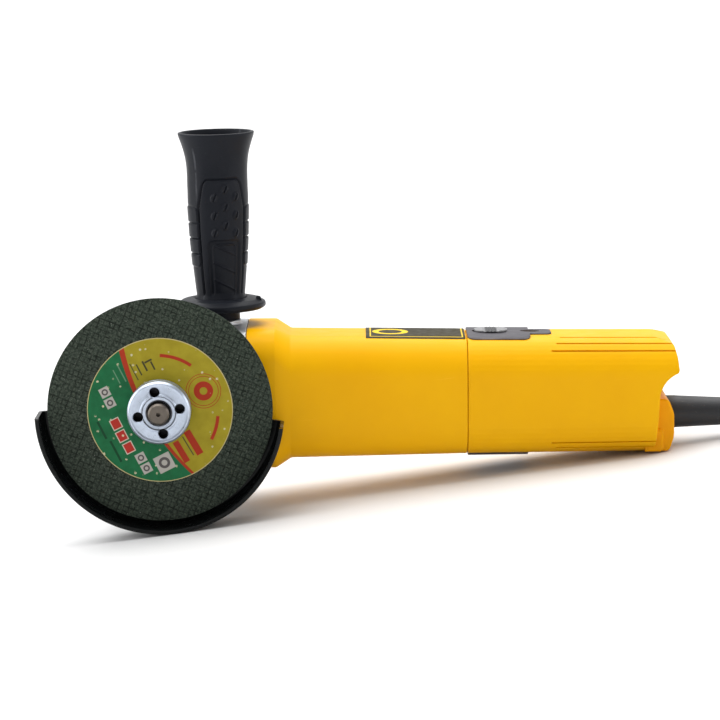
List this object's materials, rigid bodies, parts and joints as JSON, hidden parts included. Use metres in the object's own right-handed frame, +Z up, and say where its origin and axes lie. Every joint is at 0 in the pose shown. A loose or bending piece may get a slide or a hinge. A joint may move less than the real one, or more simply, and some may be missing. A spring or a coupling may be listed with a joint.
{
  "type": "angle grinder",
  "caption": "Corded angle grinder with slide switch, side handle, swivelling wheel guard and a thin cutting disc clamped by a pin-spanner nut, standing on its guard and tail.",
  "frame": {"origin": "on the floor, under the middle of the tool without its cord", "axes": "+X toward the tail and the cord, -Y out of the spindle toward the disc, +Z up; the motor axis drops 7.50 degrees toward the tail"},
  "size_m": [0.4561, 0.1697, 0.184],
  "materials": {
    "die_cast": "silver paint over a die casting, slightly worn",
    "yellow_plastic": "golden yellow, satin with fine wear",
    "orange_plastic": "orange-yellow, satin",
    "black_plastic": "black, matt",
    "grip_plastic": "blue-black, satin with handling marks",
    "grey_plastic": "warm dark grey, satin",
    "ivory_plastic": "ivory, satin",
    "plate_foil": "dark olive-brown foil with a yellow border line",
    "capacitor_case": "tan, satin",
    "black_enamel": "glossy black enamel with scuffed edges",
    "zinc_steel": "bright zinc plate with a blue tint",
    "dark_screws": "black-oxide steel",
    "machined_steel": "ground steel",
    "lamination_steel": "stacked sheets under varnish",
    "copper": "enamelled copper",
    "brass": "satin",
    "carbon": "pressed carbon, matt",
    "black_rubber": "black, slightly dusty",
    "wire_insulation": "red, satin",
    "abrasive": "dark grey abrasive grain in resin",
    "paper_label": "printed paper, olive-yellow and green with a red stripe"
  },
  "bodies": {
    "housing": {"gear_case": "die_cast", "gear_case_screws": "dark_screws", "bearing_cover": "die_cast", "bearing_cover_screws": "dark_screws", "spindle_ball_bearing": "machined_steel", "spindle_needle_bearing": "machined_steel", "dust_seal": "black_rubber", "motor_housing": "yellow_plastic", "rear_housing": "yellow_plastic", "rear_housing_screws": "dark_screws", "tail_cover": "orange_plastic", "name_plate": "plate_foil", "switch_plate": "grey_plastic", "lower_plate": "grey_plastic", "air_baffle": "black_plastic", "stator_core": "lamination_steel", "field_coils": "copper", "shaft_front_bearing": "machined_steel", "shaft_rear_bearing": "machined_steel", "brush_holders": "brass", "carbon_brushes": "carbon", "brush_springs": "zinc_steel", "switch_body": "black_plastic", "noise_capacitor": "capacitor_case", "lead_wires": "wire_insulation", "cord_clamp": "black_plastic", "cord_clamp_screws": "dark_screws", "strain_relief": "black_rubber", "cord": "black_rubber", "cord_coil": "black_rubber", "plug_body": "black_rubber", "plug_pins": "brass", "handle_grip": "grip_plastic", "handle_stud": "zinc_steel", "lock_spring": "zinc_steel"},
    "spindle": {"spindle": "machined_steel", "bevel_gear": "machined_steel", "gear_circlip": "dark_screws", "spindle_spacer": "machined_steel", "inner_flange": "zinc_steel", "cutting_disc": "abrasive", "disc_label": "paper_label", "disc_bore_ring": "machined_steel", "lock_nut": "zinc_steel"},
    "armature": {"motor_shaft": "machined_steel", "rotor_core": "lamination_steel", "rotor_windings": "copper", "commutator": "copper", "cooling_fan": "black_plastic", "pinion": "machined_steel"},
    "guard": {"wheel_guard": "black_enamel", "guard_clamp": "zinc_steel", "guard_clamp_screw": "zinc_steel"},
    "lock": {"lock_button": "black_plastic", "lock_pin": "machined_steel"},
    "switch_slider": {"slide_knob": "grey_plastic", "switch_rod": "ivory_plastic"}
  },
  "joints": [
    {"name": "spindle_spin", "type": "hinge", "parent": "housing", "child": "spindle", "pos_m": [-0.0951, 0.01135, 0.059], "axis": [0, -1, 0], "continuous": true},
    {"name": "armature_spin", "type": "hinge", "parent": "housing", "child": "armature", "pos_m": [-0.0951, 0.01135, 0.059], "axis": [0.9914, 0, -0.1305], "continuous": true},
    {"name": "guard_swivel", "type": "hinge", "parent": "housing", "child": "guard", "pos_m": [-0.0951, 0.01135, 0.059], "axis": [0, -1, 0], "range_deg": [-90, 90]},
    {"name": "lock_press", "type": "slide", "parent": "housing", "child": "lock", "axis": [0, -1, 0], "range_m": [0, 0.004], "stiffness_N_per_m": 600, "springref_m": -0.003},
    {"name": "switch_slide", "type": "slide", "parent": "housing", "child": "switch_slider", "axis": [-0.9914, 0, 0.1305], "range_m": [0, 0.004]}
  ],
  "couplings": [
    {"joint": "armature_spin", "follows": "spindle_spin", "ratio": -3.6}
  ]
}
